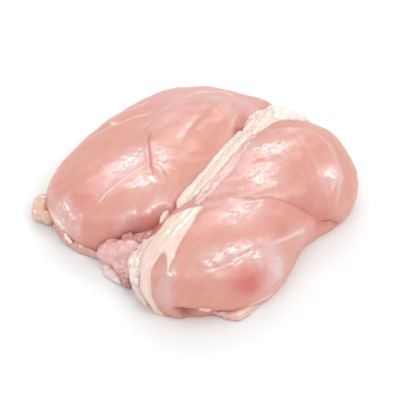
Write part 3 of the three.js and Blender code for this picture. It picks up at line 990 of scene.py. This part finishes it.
def make_materials():
    """All finishes by name."""
    wrinkles = wrinkle_group()
    mottling = mottle_group()

    def fat(name, main, second, crease, **more):
        """A fat material with the shared groups."""
        return fat_material(name, main, second, wrinkles, mottling, crease, **more)

    return {
        "meat": meat_material("breast_meat", mottling),
        "scrap": fat("scrap_meat", (212, 138, 128), (220, 170, 168), 0.3, scale=260.0),
        # Painted shade: a darker copy of the meat, for the layer in the shadow under the left lobe's edge
        "under": fat("shaded_under_meat", (194, 122, 110), (206, 142, 130), 0.2),
        "pale_meat": fat("pale_meat", (216, 148, 132), (226, 174, 160), 0.3),
        "red": fat("red_meat", (172, 66, 66), (190, 98, 98), 0.5),
        "lace": fat("pale_lace", (236, 208, 198), (232, 196, 186), 0.5, between=(214, 156, 146)),
        "web": fat("pink_web", (220, 180, 174), (214, 164, 160), 0.5, between=(212, 142, 134)),
        "skin": fat("pale_skin", (224, 190, 184), (230, 206, 198), 0.6),
        "fat": fat("white_fat", (236, 218, 204), (232, 208, 192), 0.6, between=(222, 184, 168)),
        "soft_fat": fat("soft_fat", (238, 228, 220), (233, 214, 202), 0.2, scale=260.0),
        "strand": fat("cream_strand", (234, 208, 190), (230, 198, 180), 0.5),
        "gold_fat": fat("golden_fat", (224, 184, 152), (230, 198, 170), 0.6),
        "sheet": fat("sheet_fat", (233, 207, 190), (235, 214, 200), 0.3, streaky=(220, 172, 158)),
        "peach_fat": fat("peach_fat", (214, 162, 124), (219, 178, 148), 0.15),
    }


# The breast's pieces

def make_lobes(materials):
    """The two lobes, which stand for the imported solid."""
    for name, lobe, layers in (("left_lobe", LEFT, LEFT_LAYERS), ("right_lobe", RIGHT, RIGHT_LAYERS)):
        piece = finish(lobe_piece(name, lobe, layers), materials["meat"])
        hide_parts("chicken_breast")


def make_keel(materials):
    """The keel line: a bed of pink tissue in the valley, strands of gristle and fat lying on it, and a
    lacy skin that joins them to the right lobe."""
    path = [(12, 84, 18), (8, 60, 23), (6, 40, 24.5), (5, 10, 24.5), (3, -16, 22.5)]
    bed = rope("keel_bed", path, [8, 9, 9, 8.5, 5], strands=2, seed=31)
    finish(bed, materials["web"])
    path = [(7.5, 49, 32.4), (6.2, 40, 33), (5.4, 25, 33.2), (5, 10, 33), (4.4, -6, 32.6), (4.2, -20, 32.4)]
    groove = rope("keel_groove", path, [1.2, 1.9, 2.1, 2.0, 1.5, 0.8], strands=3, twist=0.6, seed=33)
    finish(groove, materials["gold_fat"])

    lower = [
        (6, 52, 31.5), (4.4, 45, 33), (3.2, 34, 33.3), (2.4, 23, 33.3),
        (2.0, 11, 33), (1.2, 0, 32.4), (0.2, -12, 31.2), (0.4, -22, 30.2),
    ]
    upper = [
        (7, 50, 32), (5.4, 42, 33.4), (4.2, 32, 33.9), (3.2, 21, 33.9),
        (2.8, 10, 33.6), (2.2, 0, 33), (1.8, -12, 32), (1.9, -22, 31),
    ]
    smoother = {"strands": 2, "rough": 0.5}
    left = [
        rope_shape(lower, [1.0, 1.5, 1.6, 1.5, 1.6, 2.0, 2.8, 1.6], seed=11, twist=0.2, **smoother),
        rope_shape(upper, [0.8, 1.3, 1.4, 1.2, 1.3, 1.6, 2.0, 1.2], seed=12, twist=0.2, **smoother),
    ]
    piece = melted("keel_strand_left", left, voxel=0.35, relax=3, rough=0.05, size=5, seed=13)
    finish(piece, materials["strand"])

    right = []
    side_by_side = [(-1.9, 0.5, 1.4), (0, 0, 1.7), (2.0, 0.4, 1.5), (3.7, 0.9, 1.3)]
    for number, (out, drop, wide) in enumerate(side_by_side):
        path = [
            (14 + out, 58, 32 - drop), (11 + out, 45, 34.4 - drop), (9.4 + out, 32, 34.8 - drop),
            (8.6 + out, 20, 34.6 - drop), (8.2 + out, 8, 34.2 - drop), (7.3 + out, -7, 33.8 - drop),
            (6.6 + out / 2, -25, 33.6 - drop),
        ]
        radii = [1.6, wide, wide, 0.9 * wide, wide, wide, 0.8]
        right.append(rope_shape(path, radii, seed=14 + number, twist=0.3, **smoother))
    piece = melted("keel_strand_right", right, voxel=0.35, relax=3, rough=0.05, size=5, seed=19)
    finish(piece, materials["fat"])

    lobe_side = [
        (14, 46), (15.2, 38), (15.6, 28), (16, 18), (16.1, 8), (15.2, -1), (14, -9), (13.2, -15), (13, -22),
    ]
    keel_side = [(13, -22), (9, -20), (7, -8), (7, 10), (8, 30), (11, 42), (14, 46)]
    web = cover(
        "keel_web", RIGHT, RIGHT_LAYERS, (0.33, 0.68), (0.5, 1.0), outlined([lobe_side, keel_side], 0.5, 18),
        thick=0.7, edge=0.5, rough=0.22, seed=17,
    )
    finish(web, materials["web"])


def make_neck_fat(materials):
    """Soft lumps of fat gathered at the neck end, and the pink strands that run from them down into the
    hollow, with white ones beside them."""
    soft = lumps(
        ((11.5, 75, 28.8), (5, 5, 5)), ((15.8, 73.5, 31.4), (5.2, 5, 5)),
        ((20.4, 71.8, 32.4), (4.8, 4.6, 4.6)), ((24.6, 71.4, 32.8), (5, 4.4, 4.2)),
        ((28.4, 73.2, 31.8), (3.6, 3.6, 3.4)), ((31.2, 75.6, 30.2), (2.2, 2.2, 2.2)),
        ((17.5, 67, 33.4), (3.8, 4.2, 3.2)), ((21, 68, 33.4), (3, 3, 2.6)),
    )
    piece = melted("neck_fat", soft, voxel=0.5, relax=7, rough=0.12, size=6, seed=41)
    finish(piece, materials["soft_fat"])
    pink = [
        rope_shape(
            [(2.5, 74, 27.5), (3, 68, 29.6), (3.6, 62, 31), (4.8, 55, 32), (6.6, 48, 33), (7.2, 43, 33)],
            [1.6, 2.0, 2.0, 1.9, 1.7, 0.8], seed=141,
        ),
        rope_shape(
            [(6, 75, 28), (5.6, 69, 30.6), (6, 62, 31.8), (7, 55, 32.8), (8.2, 48, 33.8)],
            [1.8, 2.2, 2.1, 2.0, 1.2], seed=143,
        ),
        rope_shape(
            [(9.5, 75, 29), (9, 69, 31.6), (9.2, 62, 32.6), (9.8, 55, 33.4), (10, 48, 34.4)],
            [2, 2.3, 2.2, 2.0, 1.2], seed=145,
        ),
        rope_shape(
            [(20, 67, 33), (17.5, 62, 34.4), (16, 55, 35), (14.8, 47, 35.4)],
            [1.4, 1.9, 1.7, 0.8], seed=147,
        ),
    ]
    piece = melted("neck_web", pink, voxel=0.45, relax=3, rough=0.12, size=3.5, seed=142)
    finish(piece, materials["lace"])
    white = [
        rope_shape(
            [(13, 74, 30.4), (12, 68, 33), (12, 61, 33.8), (12.2, 54, 34.4), (11.6, 47, 35)],
            [2, 2.2, 2.0, 1.9, 1.4], rough=0.6, seed=151,
        ),
        rope_shape(
            [(16, 70, 32.6), (14.8, 64, 34.2), (14.2, 57, 34.6), (13.4, 50, 35), (12.6, 44, 35.4)],
            [1.8, 1.8, 1.7, 1.6, 1.0], rough=0.6, seed=153,
        ),
    ]
    piece = melted("neck_ribs", white, voxel=0.4, relax=3, rough=0.08, size=4, seed=152)
    finish(piece, materials["fat"])


def make_fat_sheet(materials):
    """The thin sheet of fat that spreads over the right lobe in two pointed fingers, the left one
    wrapping down round the tip, and the lace between it and the crevice."""
    right_edge = [
        (16.4, -22.6), (15.8, -29), (16.7, -34), (17.1, -39.3), (17, -44),
        (16.7, -49.3), (16.9, -54.2), (17.6, -58), (17.2, -62.1), (18.1, -67.5),
    ]
    notch = [(18.1, -67.5), (15.3, -62.4), (12, -57.7), (9.7, -59.4), (9, -63.2), (8.6, -66.1)]
    finger = [(8.6, -66.1), (10, -69), (11.6, -71), (12.9, -74), (14.3, -79), (17, -84.5), (21, -88)]
    outer = [
        (21, -88), (15, -87), (9.5, -84), (6, -76), (3, -69), (1.2, -65),
        (-1, -60.5), (-1.8, -56), (-1, -50), (-0.2, -43.5), (0.2, -36), (2, -29.8),
    ]
    top = [(2, -29.8), (7.6, -26.2), (11.8, -23.8), (16.4, -22.6)]
    sheet = cover(
        "fat_sheet", RIGHT, RIGHT_LAYERS, (0.5, 0.88), (0.45, 2.0),
        outlined([right_edge, notch, finger, outer, top]), thick=1.0, edge=0.9, rough=0.12, seed=51,
    )
    finish(sheet, materials["sheet"])
    lobe_side = [(1.6, -43), (0.8, -50), (0, -55.5), (0.6, -60), (2.4, -66)]
    crevice_side = [(2.4, -66), (-2.4, -67), (-7, -62), (-9, -56), (-8.4, -50), (-4, -46), (1.6, -43)]
    lace = cover(
        "fat_lace", RIGHT, RIGHT_LAYERS, (0.5, 0.72), (0.6, 2.0),
        outlined([lobe_side, crevice_side], 0.6, 53), thick=0.7, edge=0.5, rough=0.3, seed=54,
    )
    finish(lace, materials["lace"])


def make_scrap(materials):
    """The loose scrap of meat between the tips with its veil, flap and clot, the torn meat and lace in
    the crevice above it, and the lumpy fat and tissue beside it."""
    meat = lumps(
        ((-24, -44.5, 7.6), (10.5, 8.5, 8), 20, -8), ((-15, -43, 10.6), (9, 7.5, 7.6), 30),
        ((-8, -36, 12.6), (8, 8, 8.2)), ((-16, -50, 5), (7, 6, 5.5)),
        ((-28, -44, 5), (7, 7, 5.5), 20), ((-8, -49, 8), (6, 7, 8)),
        ((-11, -53, 4), (5, 6, 5)), ((-20, -43.5, 11.4), (7, 4.6, 6), 30),
    )
    piece = melted("scrap_meat", meat, voxel=0.7, relax=8, rough=0.2, size=7, seed=61)
    finish(piece, materials["scrap"])
    torn = lumps(
        ((-19, -39.5, 14), (5, 3.4, 4.6), 20), ((-13, -38.4, 15.4), (5, 4, 4.8), 20),
        ((-8, -38.6, 16.6), (4.4, 4, 4.6)), ((-8, -43, 15.6), (3.6, 4, 4)),
    )
    piece = melted("crevice_meat", torn, voxel=0.5, relax=6, rough=0.3, size=3.4, seed=65)
    finish(piece, materials["red"])
    veil = lumps(
        ((-16.5, -44.4, 14.4), (5, 3, 2.6), 20), ((-22, -45.4, 13.2), (4.6, 3, 2.4), 10),
        ((-11.6, -44.6, 15.6), (3.6, 3, 2.6), 30), ((-11, -48.6, 14.6), (2.8, 3, 2.6)),
    )
    piece = melted("scrap_veil", veil, voxel=0.45, relax=6, rough=0.25, size=3.0, seed=62)
    finish(piece, materials["web"])
    flap = lumps(
        ((-22, -54.5, 2.2), (5, 3.4, 2.2), -18), ((-17, -56.8, 1.8), (4.5, 2.6, 1.8), -12),
        ((-25.5, -52, 2.6), (3, 3, 2.2)),
    )
    piece = melted("scrap_flap", flap, voxel=0.45, relax=5, rough=0.12, size=4, seed=64)
    finish(piece, materials["skin"])
    clot = lumps(((-13, -56.4, 4), (3, 3, 4)), ((-10.5, -58, 3.4), (2.8, 2.8, 3.4)))
    piece = melted("scrap_red", clot, voxel=0.45, relax=5, rough=0.1, size=4, seed=63)
    finish(piece, materials["red"])
    fat = lumps(
        ((-6, -57.3, 19.4), (3.2, 3.2, 3.2)), ((-4, -60.5, 16.6), (3.2, 3.0, 3.2)),
        ((-1.9, -60.2, 22.6), (2.2, 2.6, 2.0)), ((-4, -61.6, 13), (2.8, 2.6, 2.8)),
        ((-1.8, -63, 15), (2.4, 2.2, 2.4)), ((-1.0, -62.8, 20.2), (2.0, 2.4, 2.2)),
        ((-8.2, -55.4, 18), (2.6, 2.6, 2.6)), ((-5.8, -55.6, 21.4), (2.2, 2.6, 2.0)),
        ((-0.8, -63.4, 17.6), (2.0, 2.0, 2.4)), ((-3.4, -57.4, 23), (1.8, 2.6, 1.6)),
        ((0.6, -65.6, 17), (1.6, 2.2, 2.2)),
    )
    piece = melted("scrap_fat", fat, voxel=0.4, relax=8, rough=0.12, size=3.4, seed=66)
    finish(piece, materials["soft_fat"])
    lace = lumps(
        ((-6.4, -52, 21.8), (1.8, 2.8, 2)), ((-8.4, -52, 18.6), (1.8, 2.6, 2.2)),
        ((-6.6, -48.6, 22.4), (1.6, 2.6, 1.8)), ((-8.4, -48, 19), (1.6, 2.4, 2)),
        ((-6, -45, 23.2), (1.4, 2.4, 1.6)), ((-9.6, -50, 16.6), (1.8, 2.2, 2)),
    )
    piece = melted("crevice_lace", lace, voxel=0.4, relax=5, rough=0.25, size=2.6, seed=67)
    finish(piece, materials["lace"])
    tissue = lumps(
        ((-4.2, -60.4, 10), (3, 2.6, 4.2)), ((-1.6, -62.8, 9.2), (3.4, 2.6, 4.6)),
        ((1, -65.2, 8.8), (3, 2.4, 4)), ((3.8, -67.2, 8), (2.4, 2, 3)), ((6.4, -69, 7.2), (1.6, 1.6, 2)),
    )
    piece = melted("tip_tissue", tissue, voxel=0.45, relax=6, rough=0.2, size=4, seed=68)
    finish(piece, materials["skin"])


def make_side_fat(materials):
    """The knob of fat that shows past the left lobe's side."""
    knob = lumps(
        ((-79, -29, 6.6), (5.6, 6.6, 6.6), -20), ((-78, -34, 5), (5.4, 5, 5)),
        ((-72.5, -35, 4.6), (4.4, 3.6, 4.4)),
    )
    piece = melted("side_fat", knob, voxel=0.5, relax=14, rough=0.06, size=9, seed=71)
    finish(piece, materials["peach_fat"])


def make_under_layers(materials):
    """The edges of the under layer that peep out below both lobes, and a nub of meat in the crevice
    under the right lobe's tip."""
    path = [
        (-75, -16, 3.4), (-70.8, -27.5, 3.2), (-64.4, -34.6, 3), (-56.4, -40.2, 2.8),
        (-48, -43.6, 2.8), (-38, -45.2, 2.6), (-30, -45, 2.4),
    ]
    radii = [3, 4, 4.1, 4.1, 3.8, 3, 2]
    left = rope("under_layer_left", path, radii, flat=0.9, strands=1, twist=0.2, seed=81)
    # Its darker meat is painted shade
    finish(left, materials["under"])
    path = [
        (36.5, -57, 4.4), (42.1, -54.4, 3.2), (47.1, -52.8, 3), (50.5, -50.7, 3),
        (52.7, -45.7, 3), (55, -40, 2.6), (57, -35, 2),
    ]
    radii = [1.2, 2.6, 3.4, 3.6, 3.0, 2.0, 1.0]
    right = rope("under_layer_right", path, radii, flat=0.9, strands=2, twist=0.3, seed=84)
    finish(right, materials["pale_meat"])
    nub = lumps(((35.4, -63.6, 11.2), (2.2, 1.8, 1.4)), ((38, -62.8, 11), (2.2, 1.8, 1.4)))
    piece = melted("tip_nub", nub, voxel=0.4, relax=5, rough=0.1, size=4, seed=88)
    finish(piece, materials["pale_meat"])


def make_flecks(materials):
    """The pale knob at the head of the sheet, and flecks of fat on the left lobe's hem."""
    knob = lumps(((-5.4, -25, 25), (2.0, 4.2, 2.6)), ((-4.6, -28, 23.6), (2.0, 2.8, 2.6)))
    piece = melted("fold_fat", knob, voxel=0.4, relax=6, rough=0.08, size=3, seed=86)
    finish(piece, materials["skin"])
    flecks = lumps(
        ((-59, -44.2, 15.4), (1.3, 1.0, 1.0)), ((-57.6, -44.8, 14.4), (1.4, 1.1, 1.4)),
        ((-56.2, -45.3, 12.6), (1.2, 1.0, 1.4)), ((-54.3, -45.8, 8.8), (1.5, 1.1, 1.5)),
        ((-52.8, -46.6, 7.4), (1.6, 1.1, 1.5)), ((-51.2, -47, 6.2), (1.4, 1.0, 1.2)),
    )
    piece = melted("hem_fat", flecks, voxel=0.3, relax=6, rough=0.08, size=2.4, seed=90)
    finish(piece, materials["soft_fat"])


# The table, the light and the camera

CAMERA_AZIMUTH = 26.5
CAMERA_ELEVATION = 42.0
CAMERA_LENS = 120.0
CAMERA_DISTANCE = 720.0
CAMERA_TARGET = (0.0, 0.0, 15.0)
FRAMING = (2.43, 2.7)  # how far right of the target and above it the picture's middle lies
TABLE_REACH = 3000.0
SKY = {"To Min": 0.66, "To Max": 0.92}  # its strength at the horizon and overhead
PANEL_DISTANCE = 900.0
PANELS = {  # azimuth, elevation, width and height, and radiance
    "back_panel": (-152, 45, (760, 240), 3.0),
    "right_panel": (72, 54, (600, 340), 3.0),
    "rear_right_panel": (129, 37, (210, 160), 4.5),
    "left_panel": (-62, 20, (460, 200), 3.2),
    "front_panel": (-6, 46, (270, 150), 4.0),
    "low_right_panel": (76, 23, (180, 140), 4.5),
}


def direction(azimuth, elevation):
    """Where something at that azimuth and elevation lies, seen from the breast."""
    a, e = np.radians([azimuth, elevation])
    return np.array([np.sin(a) * np.cos(e), -np.cos(a) * np.cos(e), np.sin(e)])


def aimed(name, data, place, target):
    """An object at a place in the breast's frame, looking at a target."""
    made = bpy.data.objects.new(name, data)
    bpy.context.scene.collection.objects.link(made)
    made.location = Vector((place + KEEL_ORIGIN) * MM)
    made.rotation_euler = Vector((target - place).tolist()).to_track_quat("-Z", "Y").to_euler()
    return made


def make_camera():
    """The photograph's view: from above the tips, a little to the right of the keel line."""
    back = direction(CAMERA_AZIMUTH, CAMERA_ELEVATION)
    right = direction(CAMERA_AZIMUTH + 90, 0)
    up = np.cross(back, right)
    target = np.array(CAMERA_TARGET) + FRAMING[0] * right + FRAMING[1] * up
    data = bpy.data.cameras.new("camera")
    data.lens = CAMERA_LENS
    data.clip_start = 0.01
    data.clip_end = 20
    bpy.context.scene.camera = aimed("camera", data, target + CAMERA_DISTANCE * back, target)


def make_table():
    """A broad, plain white table."""
    corners = np.array([(-1, -1, 0), (1, -1, 0), (1, 1, 0), (-1, 1, 0)]) * TABLE_REACH
    table = new_mesh("table", corners, [np.arange(4)])
    material, _, shader, _ = start_material("white_table")
    settle(shader, TABLE_FINISH)
    table.data.materials.append(material)


def panel(name, azimuth, elevation, size, radiance):
    """A light panel aimed at the breast. Its power is its radiance times pi and its area."""
    data = bpy.data.lights.new(name, "AREA")
    data.shape = "RECTANGLE"
    data.size, data.size_y = (side * MM for side in size)
    data.energy = radiance * np.pi * data.size * data.size_y
    target = np.array(CAMERA_TARGET)
    aimed(name, data, target + PANEL_DISTANCE * direction(azimuth, elevation), target)


def make_light():
    """White surroundings, brightest overhead, a wide panel high behind and others round about."""
    world = bpy.data.worlds.new("white_room")
    world.use_nodes = True
    tree = world.node_tree
    sky = tree.nodes["Background"]
    sky.inputs["Color"].default_value = (1, 1, 1, 1)
    way = put(tree, "ShaderNodeTexCoord").outputs["Generated"]
    height = put(tree, "ShaderNodeSeparateXYZ", {0: way}).outputs[2]
    strength = put(tree, "ShaderNodeMapRange", {"Value": height, **SKY}).outputs[0]
    tree.links.new(strength, sky.inputs["Strength"])
    bpy.context.scene.world = world
    for name, facts in PANELS.items():
        panel(name, *facts)
    bpy.context.scene.view_settings.view_transform = "Standard"


def build():
    """Everything, in order."""
    materials = make_materials()
    make_camera()
    make_table()
    make_light()
    make_lobes(materials)
    make_keel(materials)
    make_neck_fat(materials)
    make_fat_sheet(materials)
    make_scrap(materials)
    make_side_fat(materials)
    make_under_layers(materials)
    make_flecks(materials)


build()
